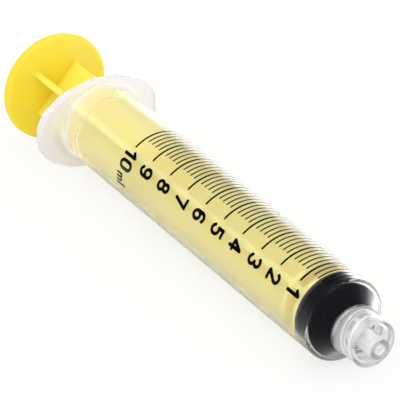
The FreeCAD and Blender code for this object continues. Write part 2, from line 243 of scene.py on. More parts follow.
# Mould grain is about 0.05 mm, drawn here ten times as coarse so that it can show at all
grain = add_node(
    barrel_tree,
    "ShaderNodeTexNoise",
    {"Scale": spots_of(0.5), "Detail": 2.0},
    {"Vector": barrel_spot},
)
GRAIN_ROUGHNESS = 0.06
barrel_roughness = add_node(
    barrel_tree,
    "ShaderNodeMath",
    {1: GRAIN_ROUGHNESS},
    {0: grain.outputs["Fac"], 2: blur_here},
    operation="MULTIPLY_ADD",
)
clearness = add_node(
    barrel_tree, "ShaderNodeMath", {0: 1.0}, {1: haze_here}, operation="SUBTRACT"
)
print(clear_plastic.name, "reads haze and blur from the mesh")

# %% Milkiness and waves
# Thick plastic scatters blue light most, which gives the flange a cold, milky white
thick = add_node(
    barrel_tree, "ShaderNodeMapRange", {"From Min": 0.2, "From Max": 0.6}, {"Value": haze_here}
)
milk = add_node(
    barrel_tree,
    "ShaderNodeMix",
    {COLOUR_A: colour("FEFEFE"), COLOUR_B: colour("F7F4FD")},
    {FACTOR: thick.outputs["Result"]},
    data_type="RGBA",
)
# The skin is a little wavy too, over spots about 2.5 mm wide
waves = add_node(
    barrel_tree,
    "ShaderNodeTexNoise",
    {"Scale": spots_of(2.5), "Detail": 1.0},
    {"Vector": barrel_spot},
)
wavy_skin = add_node(
    barrel_tree,
    "ShaderNodeBump",
    {"Strength": 0.3, "Distance": 0.03 * MM},
    {"Height": waves.outputs["Fac"]},
)
print("milk and waves added:", len(barrel_tree.nodes), "nodes so far")

# %% The clear shell
# A dark Specular Tint keeps the many skins of the wall from mirroring the white room over the
# pieces inside
clear_shell = add_node(
    barrel_tree,
    "ShaderNodeBsdfPrincipled",
    {"IOR": 1.49, "Specular Tint": colour("404040")},
    {
        "Base Color": milk.outputs[MIXED_COLOUR],
        "Roughness": barrel_roughness.outputs[0],
        "Transmission Weight": clearness.outputs[0],
        "Normal": wavy_skin.outputs["Normal"],
    },
)
# Lamps and soft light reach the pieces inside as if the thin wall weren't there
barrel_rays = add_node(barrel_tree, "ShaderNodeLightPath").outputs
passing = add_node(
    barrel_tree,
    "ShaderNodeMath",
    links={0: barrel_rays["Is Shadow Ray"], 1: barrel_rays["Is Diffuse Ray"]},
    operation="MAXIMUM",
)
no_wall = add_node(barrel_tree, "ShaderNodeBsdfTransparent", {"Color": WHITE})
barrel_finish = add_node(
    barrel_tree,
    "ShaderNodeMixShader",
    links={0: passing.outputs[0], 1: clear_shell.outputs["BSDF"], 2: no_wall.outputs["BSDF"]},
)
add_node(
    barrel_tree, "ShaderNodeOutputMaterial", links={"Surface": barrel_finish.outputs["Shader"]}
)
print(clear_plastic.name, "has", len(barrel_tree.nodes), "nodes")

# %% [markdown]
# ## Pigmented polypropylene, moulded
# The plunger rod is the same plastic with a strong yellow pigment. It shines softly, and thin
# edges let some light through, so it looks warm and never dull in its shadows. Three tints are
# laid over each other: the pigment's own swirl, a paler one on the thin ribs that is painted
# light passing through them, and the palest, a painted reflection of the white room, for what
# is seen through the barrel.

# %% The pigment
yellow_plastic, rod_tree = new_material("yellow_polypropylene_moulded")
rod_spot = add_node(rod_tree, "ShaderNodeTexCoord").outputs["Object"]
# Nine swirls of pigment lie side by side in 50 mm
swirl = add_node(
    rod_tree,
    "ShaderNodeTexNoise",
    {"Scale": spots_of(50 / 9), "Detail": 1.0},
    {"Vector": rod_spot},
)
pigment = add_node(
    rod_tree,
    "ShaderNodeMix",
    {COLOUR_A: colour("FADE2C"), COLOUR_B: colour("FCE336")},
    {FACTOR: swirl.outputs["Fac"]},
    data_type="RGBA",
)
print("pigment between two yellows")

# %% Painted light on the ribs, and a painted reflection behind the wall
THUMB_DISC_FRONT = -56.2
FULLY_PALE_FROM = -54.5
# The ribs are little more than half as thick as the disc, so light passes through them. That
# light is painted into their colour as a paler tint: painted light, not a pigment of their own
rod_place = add_node(rod_tree, "ShaderNodeSeparateXYZ", links={"Vector": rod_spot})
on_ribs = add_node(
    rod_tree,
    "ShaderNodeMapRange",
    {"From Min": THUMB_DISC_FRONT * MM, "From Max": FULLY_PALE_FROM * MM},
    {"Value": rod_place.outputs["X"]},
)
painted_light_on_ribs = add_node(
    rod_tree,
    "ShaderNodeMix",
    {COLOUR_B: colour("FDEE66")},
    {FACTOR: on_ribs.outputs["Result"], COLOUR_A: pigment.outputs[MIXED_COLOUR]},
    data_type="RGBA",
)
# Seen through the barrel, the rod is painted paler: a painted reflection of the white room, which
# the skins of the clear wall would mirror over it. The barrel's shader leaves that reflection
# out, so the rays that came through it find it painted here
rod_rays = add_node(rod_tree, "ShaderNodeLightPath").outputs
rod_tint_and_painted_reflection = add_node(
    rod_tree,
    "ShaderNodeMix",
    {COLOUR_B: colour("FDEF8F")},
    {FACTOR: rod_rays["Is Transmission Ray"], COLOUR_A: painted_light_on_ribs.outputs[MIXED_COLOUR]},
    data_type="RGBA",
)
print("ribs paler from %.1f mm on" % FULLY_PALE_FROM)

# %% The satin skin of the rod
# The mould was spark-eroded to a satin grain of 0.1 mm, drawn at 0.4 mm so that it shows
satin = add_node(
    rod_tree,
    "ShaderNodeTexNoise",
    {"Scale": spots_of(0.4), "Detail": 2.0},
    {"Vector": rod_spot},
)
satin_roughness = add_node(
    rod_tree,
    "ShaderNodeMapRange",
    {"From Min": 0.3, "From Max": 0.7, "To Min": 0.27, "To Max": 0.38},
    {"Value": satin.outputs["Fac"]},
)
satin_skin = add_node(
    rod_tree,
    "ShaderNodeBump",
    {"Strength": 0.25, "Distance": 0.02 * MM},
    {"Height": satin.outputs["Fac"]},
)
# Red and green light travel further in the yellow plastic than blue
rod_finish = add_node(
    rod_tree,
    "ShaderNodeBsdfPrincipled",
    {
        "IOR": 1.49,
        "Subsurface Weight": 0.4,
        "Subsurface Radius": (1.0, 0.8, 0.2),
        "Subsurface Scale": 1.2 * MM,
    },
    {
        "Base Color": rod_tint_and_painted_reflection.outputs[MIXED_COLOUR],
        "Roughness": satin_roughness.outputs["Result"],
        "Normal": satin_skin.outputs["Normal"],
    },
)
add_node(rod_tree, "ShaderNodeOutputMaterial", links={"Surface": rod_finish.outputs["BSDF"]})
print(yellow_plastic.name, "has", len(rod_tree.nodes), "nodes")

# %% [markdown]
# ## Stopper rubber
# The stopper is black rubber with a film of silicone oil. The oil lies in patches, which are
# smoother and a little darker than the bare rubber, and the moulded skin has fine pores. One
# noise drives the patches' gloss and colour together, and a finer one dents the skin.

# %% Oily patches
rubber, rubber_tree = new_material("black_rubber_siliconed")
rubber_spot = add_node(rubber_tree, "ShaderNodeTexCoord").outputs["Object"]
# The patches of oil are about 2 mm wide
patches = add_node(
    rubber_tree,
    "ShaderNodeTexNoise",
    {"Scale": spots_of(2.0), "Detail": 1.0},
    {"Vector": rubber_spot},
)
oily_roughness = add_node(
    rubber_tree,
    "ShaderNodeMapRange",
    {"From Min": 0.35, "From Max": 0.65, "To Min": 0.45, "To Max": 0.65},
    {"Value": patches.outputs["Fac"]},
)
rubber_black = add_node(
    rubber_tree,
    "ShaderNodeMix",
    {COLOUR_A: colour("0D0C13"), COLOUR_B: colour("111018")},
    {FACTOR: patches.outputs["Fac"]},
    data_type="RGBA",
)
print("patches of 2 mm on", rubber.name)

# %% Pores, and the finished rubber
# The moulded skin has a grain of 0.2 mm
pores = add_node(
    rubber_tree,
    "ShaderNodeTexNoise",
    {"Scale": spots_of(0.2), "Detail": 1.0},
    {"Vector": rubber_spot},
)
dented_skin = add_node(
    rubber_tree,
    "ShaderNodeBump",
    {"Strength": 0.25, "Distance": 0.02 * MM},
    {"Height": pores.outputs["Fac"]},
)
rubber_finish = add_node(
    rubber_tree,
    "ShaderNodeBsdfPrincipled",
    {"IOR": 1.52, "Specular IOR Level": 0.08},
    {
        "Base Color": rubber_black.outputs[MIXED_COLOUR],
        "Roughness": oily_roughness.outputs["Result"],
        "Normal": dented_skin.outputs["Normal"],
    },
)
add_node(
    rubber_tree, "ShaderNodeOutputMaterial", links={"Surface": rubber_finish.outputs["BSDF"]}
)
print(rubber.name, "has", len(rubber_tree.nodes), "nodes")

# %% [markdown]
# ## Printing ink
# The scale is printed on the outside of the barrel in one pass of black ink. It dries glossy
# and a little uneven, so one noise moves its gloss, its black and its height together.

# %% The ink
ink, ink_tree = new_material("black_ink_printed")
ink_spot = add_node(ink_tree, "ShaderNodeTexCoord").outputs["Object"]
# Ink dries a little thicker and thinner over spots about 0.4 mm wide
film = add_node(
    ink_tree,
    "ShaderNodeTexNoise",
    {"Scale": spots_of(0.4), "Detail": 2.0},
    {"Vector": ink_spot},
)
ink_roughness = add_node(
    ink_tree,
    "ShaderNodeMapRange",
    {"From Min": 0.3, "From Max": 0.7, "To Min": 0.1, "To Max": 0.2},
    {"Value": film.outputs["Fac"]},
)
uneven_film = add_node(
    ink_tree,
    "ShaderNodeBump",
    {"Strength": 0.2, "Distance": 0.01 * MM},
    {"Height": film.outputs["Fac"]},
)
ink_black = add_node(
    ink_tree,
    "ShaderNodeMix",
    {COLOUR_A: colour("040303"), COLOUR_B: colour("0A0807")},
    {FACTOR: film.outputs["Fac"]},
    data_type="RGBA",
)
ink_finish = add_node(
    ink_tree,
    "ShaderNodeBsdfPrincipled",
    {"IOR": 1.5},
    {
        "Base Color": ink_black.outputs[MIXED_COLOUR],
        "Roughness": ink_roughness.outputs["Result"],
        "Normal": uneven_film.outputs["Normal"],
    },
)
add_node(ink_tree, "ShaderNodeOutputMaterial", links={"Surface": ink_finish.outputs["BSDF"]})
print(ink.name, "has", len(ink_tree.nodes), "nodes")

# %% [markdown]
# ## The barrel
# The barrel is one moulding, open at both ends, so its surface is one ring of profiles: out of
# the luer tip's channel, back over the tip, into the collar, over the outside to the finger
# flange, round it and up the bore again. The flange isn't round, so each point of the profile
# also says how far it follows the flange's outline. The thread is part of the same surface: its
# height is taken off the radius of the collar's inner wall along two right-hand spirals.

# %% The flange's outline
FLANGE_CORNERS = [(13.05, 2.3), (11.1, 5.7), (0.0, 9.4)]
CORNER_RADIUS = 4.0
WAIST_RADIUS = 9.0
first_quarter = [(x, y, CORNER_RADIUS if x else WAIST_RADIUS) for x, y in FLANGE_CORNERS]
second_quarter = [(-x, y, r) for x, y, r in first_quarter[1::-1]]
third_quarter = [(-x, -y, r) for x, y, r in first_quarter]
last_quarter = [(x, -y, r) for x, y, r in first_quarter[1::-1]]
outline = rounded_corners(
    first_quarter + second_quarter + third_quarter + last_quarter,
    closed=True,
    steps=12,
    support=0.0,
)
OUTLINE_TURNS = np.arctan2(outline[:, 1], outline[:, 0])
OUTLINE_RADII = np.hypot(outline[:, 0], outline[:, 1])


def flange_radius(turn):
    """Distance from the axis to the flange's outline, read off at each turn about the axis."""
    return np.interp(turn, OUTLINE_TURNS, OUTLINE_RADII, period=FULL_TURN)


print("flange reaches %.2f mm" % OUTLINE_RADII.max())

# %% The section of the tip and of the collar's inside
TUBE_RADIUS = 8.1
BORE_RADIUS = 7.1
TIP_END = 99.2
TIP_RADIUS = 1.98
TAPER = 0.03
CHANNEL_RADIUS = 1.05
COLLAR_FLOOR = 91.4
THREAD_ROOT = 4.0


def tip_radius_at(along):
    """The luer taper: the radius grows by 3 hundredths of the way back from the tip's end."""
    return TIP_RADIUS + (TIP_END - along) * TAPER


TIP_SECTION = [
    (TIP_END, CHANNEL_RADIUS, 0.1),
    (TIP_END, TIP_RADIUS, 0.2),
    (COLLAR_END, tip_radius_at(COLLAR_END), 0),
    (COLLAR_FLOOR, tip_radius_at(COLLAR_FLOOR), 0.2),
    (COLLAR_FLOOR, THREAD_ROOT, 0.2),
]
print("tip: %.2f to %.2f mm in radius" % (TIP_RADIUS, tip_radius_at(COLLAR_FLOOR)))

# %% The section of the outside and of the bore
SHOULDER = 87.8
COLLAR_FOOT = 91.3
COLLAR_RADIUS = 4.6
RING_FRONT = 92.2
RING_RADIUS = 4.85
FLANGE_FRONT = 2.0
HALF_WING = 10.5
RIM = 13.0
MOUTH_RADIUS = 7.6
BEAD_CREST = 6.88


def along_tube(places, radius):
    """Corners without a radius on the straight tube, where the haze or the blur may change."""
    return [(place, radius, 0) for place in places]


OUTSIDE_SECTION = [
    # The locking collar and the ring at its foot
    (COLLAR_END, THREAD_ROOT, 0.1),
    (COLLAR_END, COLLAR_RADIUS, 0.15),
    (RING_FRONT, COLLAR_RADIUS, 0.1),
    (RING_FRONT, RING_RADIUS, 0.15),
    (COLLAR_FOOT, RING_RADIUS, 0.15),
    # The shoulder and the tube
    (SHOULDER, TUBE_RADIUS, 0.8),
    *along_tube([86.9, 85.0, 84.1, 60.0, 40.0, 20.0, 16.0, 13.0, 10.0, 8.0, 6.0, 4.0], TUBE_RADIUS),
    # The finger flange, with a row half way out, from where its haze is full
    (FLANGE_FRONT, TUBE_RADIUS, 0.9),
    (FLANGE_FRONT, HALF_WING, 0),
    (FLANGE_FRONT, RIM, 0.4),
    (0.0, RIM, 0.4),
    (0.0, HALF_WING, 0),
]
BORE_SECTION = [
    # The bevel of the mouth, then the bead that keeps the stopper in
    (0.0, MOUTH_RADIUS, 0.1),
    (0.5, BORE_RADIUS, 0.1),
    (4.3, BORE_RADIUS, 3.5),
    (5.7, BEAD_CREST, 4.5),
    (7.1, BORE_RADIUS, 3.5),
    # The bore, the inside of the shoulder and the channel of the tip
    *along_tube([8.0, 10.0, 13.0, 16.0, 20.0, 40.0, 60.0, 83.5, 83.7, 84.1, 85.0], BORE_RADIUS),
    (87.407, BORE_RADIUS, 1.5),
    (90.315, 4.4, 0.3),
    (90.915, CHANNEL_RADIUS, 0.1),
    (95.0, CHANNEL_RADIUS, 0),
]
print("section corners:", len(TIP_SECTION) + len(OUTSIDE_SECTION) + len(BORE_SECTION))

# %% The thread's height on the collar's wall
THREAD_LEAD = 5.0
THREAD_STARTS = 2
THREAD_HEIGHT = 0.5
CREST_WIDTH = 0.45
FLANK_WIDTH = 0.35
FLOOR_GAP = 0.5
FLOOR_RUN = 0.4
MOUTH_GAP = 0.12
MOUTH_RUN = 0.2


def thread_height(along, turn):
    """Height of the thread over the collar's wall.

    The distance from the middle of the nearest turn, along the axis, is the place minus the
    lead times the turn, wrapped to the pitch. The height is full over the crest, falls evenly
    on the flanks, and fades out at the floor and at the mouth.
    """
    pitch = THREAD_LEAD / THREAD_STARTS
    aside = np.mod(along - THREAD_LEAD * turn / FULL_TURN, pitch) - pitch / 2
    ridge = np.clip((CREST_WIDTH / 2 + FLANK_WIDTH - np.abs(aside)) / FLANK_WIDTH, 0, 1)
    floor_fade = np.clip((along - COLLAR_FLOOR - FLOOR_GAP) / FLOOR_RUN, 0, 1)
    mouth_fade = np.clip((COLLAR_END - MOUTH_GAP - along) / MOUTH_RUN, 0, 1)
    return THREAD_HEIGHT * ridge * floor_fade * mouth_fade


print("thread: %d starts, %.1f mm between turns" % (THREAD_STARTS, THREAD_LEAD / THREAD_STARTS))

# %% The barrel's grid
COLUMNS = 288
THREAD_ROWS = 72
THREAD_FOOT = 0.35
AROUND = np.linspace(0, FULL_TURN, COLUMNS, endpoint=False)
wall_above_floor = (COLLAR_FLOOR + FLOOR_GAP, THREAD_ROOT, 0)
tip_part = rounded_corners(TIP_SECTION + [wall_above_floor], closed=False)[:-1]
thread_part = np.column_stack([
    np.linspace(COLLAR_FLOOR + THREAD_FOOT, COLLAR_END - MOUTH_GAP, THREAD_ROWS),
    np.full(THREAD_ROWS, THREAD_ROOT),
])
outside_part = rounded_corners(OUTSIDE_SECTION + BORE_SECTION, closed=False)
barrel_section = np.concatenate([tip_part, thread_part, outside_part])
barrel_along = barrel_section[:, :1]
round_radius = barrel_section[:, 1:]
in_collar = np.zeros((len(barrel_section), 1), bool)
in_collar[len(tip_part):len(tip_part) + THREAD_ROWS] = True
follow = np.clip((round_radius - TUBE_RADIUS) / (RIM - TUBE_RADIUS), 0, 1)
barrel_radius = round_radius + follow * (flange_radius(AROUND) - RIM)
barrel_radius = barrel_radius - np.where(in_collar, thread_height(barrel_along, AROUND), 0)
barrel = make_object(
    "clear_barrel",
    on_syringe(barrel_along, barrel_radius, AROUND),
    [grid_faces(len(barrel_section), COLUMNS, True)],
)
barrel.data.materials.append(clear_plastic)
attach(barrel, "barrel")
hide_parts("barrel")

# %% [markdown]
# ## The barrel's haze and blur
# Now the mesh gets the two numbers that its plastic reads. The flange is thick and cooled
# slowly, so it is the haziest, and the haze fades along the first millimetres of the tube. The
# tube is almost clear, the shoulder quite clear, and the collar and the tip are cloudy again.
# The bore is rough along the stopper's stroke, most of all at the mouth, and looks clear round
# the stopper, whose oil fills the fine grain. The outside is smoother. A number is blended
# between two rows of the grid, so the tube's sections have a row wherever one of them changes.

# %% Haze
HAZE_PLACES = [2.1, 4.0, 8.0, 84.1, 85.0, 91.5, 92.1]
HAZE_AMOUNTS = [0.34, 0.12, 0.04, 0.04, 0.0, 0.0, 0.22]
WING_HAZE = 0.6
haze = np.interp(barrel_along, HAZE_PLACES, HAZE_AMOUNTS)
haze = np.maximum(haze, np.interp(round_radius, [TUBE_RADIUS, HALF_WING], [0.0, WING_HAZE]))
print("haze from %.2f to %.2f" % (haze.min(), haze.max()))

# %% Blur
STOPPER_PLACES = [83.5, 83.7]
STROKE_BLUR = 0.4
SKIN_BLUR = 0.07
# Where the skin's roughness crosses 0.27 the denoiser draws a line, so the skin stays under it
MOUTH_SKIN_BLUR = 0.14
MOUTH_BORE_BLUR = 0.4
MOUTH_START = 4.0
MOUTH_LENGTH = 12.0
FRONT_BLUR = 0.14
MID_WALL = 7.6
FLANGE_ROOT = 9.2
# The blur at the mouth falls off like half a cosine wave
way_in = np.clip((barrel_along - MOUTH_START) / MOUTH_LENGTH, 0, 1)
mouth = 0.5 + 0.5 * np.cos(way_in * math.pi)
bore_blur = np.interp(barrel_along, STOPPER_PLACES, [STROKE_BLUR, SKIN_BLUR])
blur = np.where(
    barrel_radius < MID_WALL,
    bore_blur + MOUTH_BORE_BLUR * mouth,
    SKIN_BLUR + MOUTH_SKIN_BLUR * mouth,
)
blur = np.where(barrel_radius > FLANGE_ROOT, SKIN_BLUR, blur)
blur = np.where(barrel_along > COLLAR_FLOOR, FRONT_BLUR, blur)
print("blur from %.2f to %.2f" % (blur.min(), blur.max()))

# %% The two numbers go to the mesh
for number_name, values in (("haze", haze), ("blur", blur)):
    each_point = np.broadcast_to(values, barrel_radius.shape).ravel()
    attribute = barrel.data.attributes.new(number_name, "FLOAT", "POINT")
    attribute.data.foreach_set("value", each_point)
print("numbers at each point:", len(barrel.data.vertices), "points")

# %% [markdown]
# ## The stopper
# The stopper is turned from its section. The real one is squeezed into the bore, and its ribs
# and grooves have soft edges, which show as fine bright lines through the barrel.

# %% The stopper's section
STOPPER_BACK = 83.607
SEAL = 7.06
GROOVE = 6.61
SOCKET = 4.35
STEM = 2.65
STOPPER_SECTION = [
    (7.008, 0.0, 0),
    (7.008, 1.05, 0.3),
    (6.408, 4.4, 0.4),
    (3.5, SEAL, 0.25),
    (1.5, SEAL, 0.15),
    (1.25, GROOVE, 0.08),
    (1.05, GROOVE, 0.08),
    (0.8, SEAL, 0.15),
    (0.0, SEAL, 0.2),
    (0.0, STEM, 0.1),
    (1.4, STEM, 0.1),
    (1.4, SOCKET, 0.1),
    (2.3, SOCKET, 0.1),
    (4.3, 2.25, 0.1),
    (4.3, 0.0, 0),
]
stopper_line = rounded_corners(STOPPER_SECTION, closed=False)
print("stopper's section: %d points" % len(stopper_line))

# %% The stopper, turned and closed at its poles
rings = stopper_line[1:-1]
ring_points = on_syringe(STOPPER_BACK + rings[:, :1], rings[:, 1:], AROUND).reshape(-1, 3)
poles = on_syringe(STOPPER_BACK + stopper_line[[0, -1], 0], 0.0, 0.0)
nose_pole = len(ring_points)
socket_pole = nose_pole + 1
ring_now = np.arange(COLUMNS)
ring_next = (ring_now + 1) % COLUMNS
last_ring = nose_pole - COLUMNS
caps = [
    np.column_stack([np.full(COLUMNS, nose_pole), ring_now, ring_next]),
    np.column_stack([np.full(COLUMNS, socket_pole), last_ring + ring_next, last_ring + ring_now]),
]
stopper = make_object(
    "rubber_stopper",
    np.vstack([ring_points, poles]),
    [grid_faces(len(rings), COLUMNS, False)] + caps,
)
stopper.data.materials.append(rubber)
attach(stopper, "stopper")
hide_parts("plunger_stopper")

# %% [markdown]
# ## The plunger rod
# The rod's solid has the right shape already, so it stays and only gets its finish.

# %% The rod keeps its solid
rod = frame["nodes"]["plunger_rod"]
rod.data.materials.clear()
rod.data.materials.append(yellow_plastic)
print("rod keeps its own mesh:", len(rod.data.polygons), "faces")

# %% [markdown]
# ## The scale's lines
# Every fifth of a millilitre has a short line and every whole one a longer line. They are thin
# bands of ink that follow the barrel's roundness, so each is a small rectangle carried round
# part of the circle. Over the top of the barrel the lines get thinner.

# %% Where the scale lies
ML = 6.314
ZERO = SHOULDER - 0.19
INK_OUT = 0.02
INK_IN = 0.03
LONG_WIDTH = 0.45
SHORT_WIDTH = 0.33
LONG_START = 123.5
SHORT_START = 106.5
THINNING_START = 88.0
FAR_END = 42.0
THINNED = 0.4
print("ten millilitres are %.1f mm" % (10 * ML))

# %% A piece of print, and lines of ink round the barrel


def printed(name, points, faces, smooth_angle):
    """A piece of print: its ink goes where the barrel goes."""
    piece = make_object(name, points, faces, smooth_angle)
    piece.data.materials.append(ink)
    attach(piece, "barrel")
    return piece


def printed_lines(name, marks, first, last, width, stations=40):
    """One band of ink for each mark, from one angle to another, as a rectangle along an arc.

    Its width is full up to the angle where the lines start to thin, and falls evenly from
    there to the far end.
    """
    marks = np.asarray(marks, float)[:, None, None]
    degrees = np.linspace(first, last, stations)
    width_share = np.interp(degrees, [FAR_END, THINNING_START], [THINNED, 1.0])[None, :, None]
    side = np.array([-0.5, 0.5, 0.5, -0.5]) * width * width_share
    height = np.array([INK_OUT, INK_OUT, -INK_IN, -INK_IN])
    turn = np.radians(degrees)[None, :, None]
    points = on_syringe(ZERO - marks * ML + side, TUBE_RADIUS + height, turn)
    first_end = np.arange(4)[::-1]
    last_end = 4 * (stations - 1) + np.arange(4)
    one_line = np.vstack([grid_faces(stations, 4, False), first_end, last_end])
    shift = np.arange(len(marks))[:, None, None] * 4 * stations
    return printed(name, points, [(one_line + shift).reshape(-1, 4)], smooth_angle=30.0)


whole = np.arange(1, 11)
count_of_fifths = np.arange(1, 50)
fifths = count_of_fifths[count_of_fifths % 5 != 0] / 5
printed_lines("scale_long_lines", whole, LONG_START, FAR_END, LONG_WIDTH)
printed_lines("scale_short_lines", fifths, SHORT_START, FAR_END, SHORT_WIDTH)

# %% [markdown]
# ## The numerals
# The numerals stand with their tops towards the tip. A numeral is a line of a constant width,
# so it can be drawn as a distance: a spot belongs to it if it is nearer to the middle of the
# line than half the width. We lay a fine net over each sign, keep the meshes of the net that
# lie inside, draw the outermost knots onto the edge, and roll the net onto the barrel.

# %% Strokes


def bow(x, y, half_width, half_height, first, last, count=14):
    """Points along part of an ellipse, from one angle in degrees to another.

    Each is the middle, plus half the width times the cosine across and half the height times
    the sine upwards.
    """
    angle = np.radians(np.linspace(first, last, count))
    return np.column_stack([x + half_width * np.cos(angle), y + half_height * np.sin(angle)])


def line(*points):
    """Points joined by straight strokes."""
    return np.array(points, float)


print("a bow has %d points" % len(bow(0, 0, 1, 1, 0, 180)))

# %% The middle lines of the signs, in millimetres
OVAL = np.vstack([bow(0, 0.7, 0.78, 0.94, 0, 180), bow(0, -0.7, 0.78, 0.94, 180, 360)])
SIX = [
    bow(0.0, -0.70, 0.80, 0.94, 180, 540, 24),
    np.vstack([line((-0.80, -0.70)), bow(0.06, 0.55, 0.86, 1.09, 180, 45)]),
]
NUMERALS = {
    "0": [np.vstack([OVAL, OVAL[:1]])],
    "1": [line((-0.72, 0.78), (0.05, 1.64), (0.05, -1.64))],
    "2": [np.vstack([bow(0, 0.84, 0.80, 0.80, 165, -35), line((-0.80, -1.64), (0.82, -1.64))])],
    "3": [bow(-0.08, 0.84, 0.80, 0.80, 150, -80), bow(-0.08, -0.80, 0.86, 0.84, 80, -150)],
    "4": [line((0.42, -1.64), (0.42, 1.64), (-0.88, -0.72), (0.92, -0.72))],
    "5": [np.vstack([line((0.72, 1.64), (-0.58, 1.64)), bow(-0.05, -0.62, 0.86, 1.02, 128, -150)])],
    "6": SIX,
    "7": [line((-0.80, 1.64), (0.80, 1.64), (-0.18, -1.64))],
    "8": [bow(0, 0.84, 0.68, 0.80, 0, 360, 22), bow(0, -0.78, 0.82, 0.86, 0, 360, 24)],
    "9": [-stroke for stroke in SIX],
}
UNIT = [
    line((-0.72, -0.75), (-0.72, 0.75)),
    np.vstack([bow(-0.36, 0.35, 0.36, 0.40, 180, 0, 8), line((0.0, -0.75))]),
    np.vstack([bow(0.36, 0.35, 0.36, 0.40, 180, 0, 8), line((0.72, -0.75))]),
    line((1.45, -0.75), (1.45, 1.85)),
]
print("signs:", " ".join(NUMERALS), "and the unit")

# %% How far a spot is from a sign


def stroke_distance(x, y, strokes):
    """Distance from each spot to the nearest stroke.

    On each straight stretch the nearest point is the foot of the perpendicular, held between
    the stretch's two ends.
    """
    starts = np.vstack([stroke[:-1] for stroke in strokes])
    steps = np.vstack([np.diff(stroke, axis=0) for stroke in strokes])
    off_x = x[..., None] - starts[:, 0]
    off_y = y[..., None] - starts[:, 1]
    share = (off_x * steps[:, 0] + off_y * steps[:, 1]) / (steps ** 2).sum(axis=1)
    share = np.clip(share, 0, 1)
    away = np.hypot(off_x - share * steps[:, 0], off_y - share * steps[:, 1])
    return away.min(axis=-1)


MIDDLE = np.zeros(1)
to_seven = stroke_distance(MIDDLE, MIDDLE, NUMERALS["7"])
print("from the middle of a 7 to its line: %.2f mm" % to_seven[0])

# %% A net over a sign


def sign_net(strokes, width, mesh_size):
    """The knots of a fine net over a sign, and which of its meshes lie on the sign.

    A mesh is kept if its middle is nearer to a stroke than half the width. A knot on the rim
    moves onto the edge of the line: by what it is too near or too far, down the slope of the
    distance.
    """
    reach = width / 2 + 2 * mesh_size
    every = np.vstack(strokes)
    low, high = every.min(axis=0) - reach, every.max(axis=0) + reach
    over = np.arange(low[0], high[0], mesh_size)
    up = np.arange(low[1], high[1], mesh_size)
    x, y = np.meshgrid(over, up, indexing="ij")
    half = mesh_size / 2
    kept = stroke_distance(x[:-1, :-1] + half, y[:-1, :-1] + half, strokes) < width / 2
    meshes_at = np.zeros(x.shape, int)
    for i, j in ((0, 0), (0, 1), (1, 0), (1, 1)):
        meshes_at[i:i + kept.shape[0], j:j + kept.shape[1]] += kept
    on_rim = (meshes_at > 0) & (meshes_at < 4)
    tiny = mesh_size / 50
    away = stroke_distance(x, y, strokes)
    slope_x = (stroke_distance(x + tiny, y, strokes) - away) / tiny
    slope_y = (stroke_distance(x, y + tiny, strokes) - away) / tiny
    move = np.where(on_rim, away - width / 2, 0)
    return x - move * slope_x, y - move * slope_y, kept


def net_faces(kept, shape):
    """The knots in use, the corners of the kept meshes and the sides that only one mesh has."""
    knots = np.arange(shape[0] * shape[1]).reshape(shape)
    cells = np.stack([knots[:-1, :-1], knots[1:, :-1], knots[1:, 1:], knots[:-1, 1:]], -1)[kept]
    used, corners = np.unique(cells, return_inverse=True)
    corners = corners.reshape(cells.shape)
    sides = np.stack([corners, np.roll(corners, -1, axis=1)], -1).reshape(-1, 2)
    side_now = np.sort(sides, axis=1)
    which, counts = np.unique(side_now, axis=0, return_inverse=True, return_counts=True)[1:]
    return used, corners, sides[counts[which.ravel()] == 1]


BOLD = 0.7
FINE = 0.42
MESH_SIZE = 0.09
FINE_MESH = 0.07
one_net = sign_net(NUMERALS["1"], BOLD, MESH_SIZE)
print("the net of a 1 keeps %d meshes" % one_net[2].sum())

# %% The net rolled onto the barrel


def printed_sign(name, strokes, width, along, degrees, mesh_size=MESH_SIZE):
    """A sign's net as a thin layer of ink: its top, its underside and the rim between them.

    The net's height runs along the barrel. Its breadth over the barrel's radius is the turn.
    """
    x, y, kept = sign_net(strokes, width, mesh_size)
    used, corners, rim = net_faces(kept, x.shape)
    place = along + y.ravel()[used]
    turn = math.radians(degrees) + x.ravel()[used] / TUBE_RADIUS
    top = on_syringe(place, TUBE_RADIUS + INK_OUT, turn)
    under = on_syringe(place, TUBE_RADIUS - INK_IN, turn)
    count = len(used)
    wall = np.column_stack([rim[:, 1], rim[:, 0], rim[:, 0] + count, rim[:, 1] + count])
    faces = [corners, corners[:, ::-1] + count, wall]
    return printed(name, np.vstack([top, under]), faces, smooth_angle=40.0)


NUMERAL_DEGREES = 141.0
NUMERAL_LIFT = 0.25
for number in whole[:-1]:
    printed_sign(
        "scale_number_%d" % number,
        NUMERALS[str(number)],
        BOLD,
        ZERO - number * ML + NUMERAL_LIFT,
        NUMERAL_DEGREES,
    )

# %% The ten and its unit
TEN = ZERO - 10 * ML + NUMERAL_LIFT
TEN_ONE_DEGREES = 136.0
TEN_ZERO_DEGREES = 151.0
UNIT_DEGREES = 171.0
UNIT_DROP = 1.2
printed_sign("scale_number_10_one", NUMERALS["1"], BOLD, TEN, TEN_ONE_DEGREES)
printed_sign("scale_number_10_zero", NUMERALS["0"], BOLD, TEN, TEN_ZERO_DEGREES)
printed_sign("scale_unit", UNIT, FINE, TEN - UNIT_DROP, UNIT_DEGREES, FINE_MESH)

# %% [markdown]
# ## The table
# The syringe lies on a white table. Its paint is a pale matt sheet that keeps the syringe's
# shadow, and part of what the eye, clear plastic and gloss see of it is plain white light, so
# that the background stays white without more light on the syringe. Behind the syringe the
# table glows brighter still for gloss and clear plastic, a painted pool of window light that no
# lamp casts, which puts light edges on the clear wall.

# %% How bright the table looks
ROOM_WHITE = 1.0
FAR_WHITE = 2.2
NEAR_LOSS = -0.65
FAR_SIDE = 40.0
table_paint, table_tree = new_material("white_table_matt")
table_rays = add_node(table_tree, "ShaderNodeLightPath").outputs
table_spot = add_node(table_tree, "ShaderNodeTexCoord").outputs["Object"]
table_place = add_node(table_tree, "ShaderNodeSeparateXYZ", links={"Vector": table_spot})
